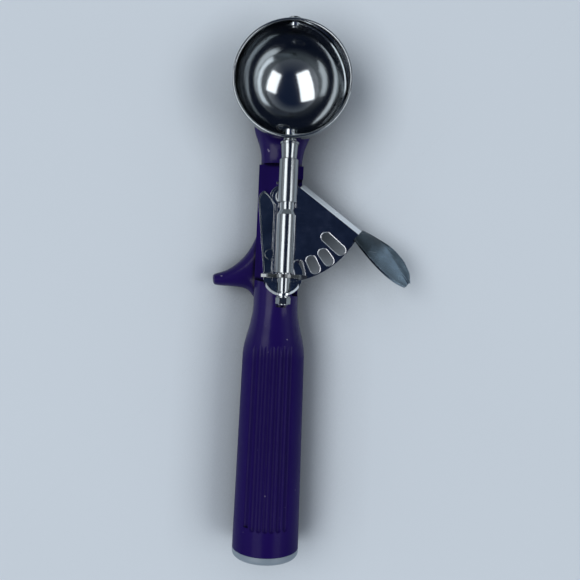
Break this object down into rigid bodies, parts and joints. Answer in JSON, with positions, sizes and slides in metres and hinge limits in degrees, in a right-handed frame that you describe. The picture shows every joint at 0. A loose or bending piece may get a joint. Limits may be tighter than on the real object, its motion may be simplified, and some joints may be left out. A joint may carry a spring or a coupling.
{
  "type": "lever ice cream scoop",
  "caption": "Squeeze scoop: a thumb lever swings a toothed-window sector plate that turns a shaft and sweeps a scraper round the bowl; long ribbed grip with finger hook.",
  "frame": {"origin": "centre of the flat end face of the grip's end cap, on the axis of the grip", "axes": "+Y runs from the end cap along the grip to the bowl and is the longest extent; +Z points out of the bowl's mouth and is the shortest extent; +X points to the thumb pad's side"},
  "size_m": [0.0743, 0.1968, 0.0295],
  "materials": {
    "grip_plastic": "deep violet moulded plastic, glossy",
    "cap_plastic": "pale grey moulded plastic, smooth",
    "bowl_steel": "mirror-polished stainless steel",
    "scraper_steel": "bright stainless strip",
    "turned_steel": "turned and polished stainless steel",
    "spring_steel": "drawn spring wire",
    "bush_brass": "plain brass, unseen in use",
    "frame_steel": "pressed and polished stainless steel",
    "plate_steel": "mirror-polished stainless sheet, no marking",
    "pad_steel": "satin stainless sheet"
  },
  "bodies": {
    "frame": {"handle": "grip_plastic", "end_cap": "cap_plastic", "bowl": "bowl_steel", "bowl_rivet": "bowl_steel", "bowl_bush": "turned_steel", "tip_stud": "turned_steel", "front_sleeve": "turned_steel", "sleeve_pin": "turned_steel", "sleeve_screw": "turned_steel", "spring_housing": "turned_steel", "return_spring": "spring_steel", "rear_bush": "bush_brass", "mechanism_frame": "frame_steel", "frame_rivet": "frame_steel", "pivot_rivet": "turned_steel", "pivot_washer": "bush_brass"},
    "lever": {"sector_plate": "plate_steel", "thumb_pad": "pad_steel"},
    "shaft": {"drive_shaft": "turned_steel", "scraper": "scraper_steel", "scraper_pin": "turned_steel", "shaft_collar": "turned_steel", "star_wheel": "scraper_steel", "spacer": "turned_steel", "tail_washer": "turned_steel", "tail_nut": "turned_steel"}
  },
  "joints": [
    {"name": "lever_hinge", "type": "hinge", "parent": "frame", "child": "lever", "pos_m": [0.0008, 0.1334, 0.00195], "axis": [0, 0, -1], "range_deg": [0, 35.7], "stiffness_Nm_per_rad": 0.3, "springref_deg": -28.65},
    {"name": "shaft_spin", "type": "hinge", "parent": "frame", "child": "shaft", "pos_m": [0.0028, 0.10387, 0.00951], "axis": [0, 1, 0], "range_deg": [0, 140]}
  ],
  "couplings": [
    {"joint": "shaft_spin", "follows": "lever_hinge", "ratio": 3.913}
  ]
}
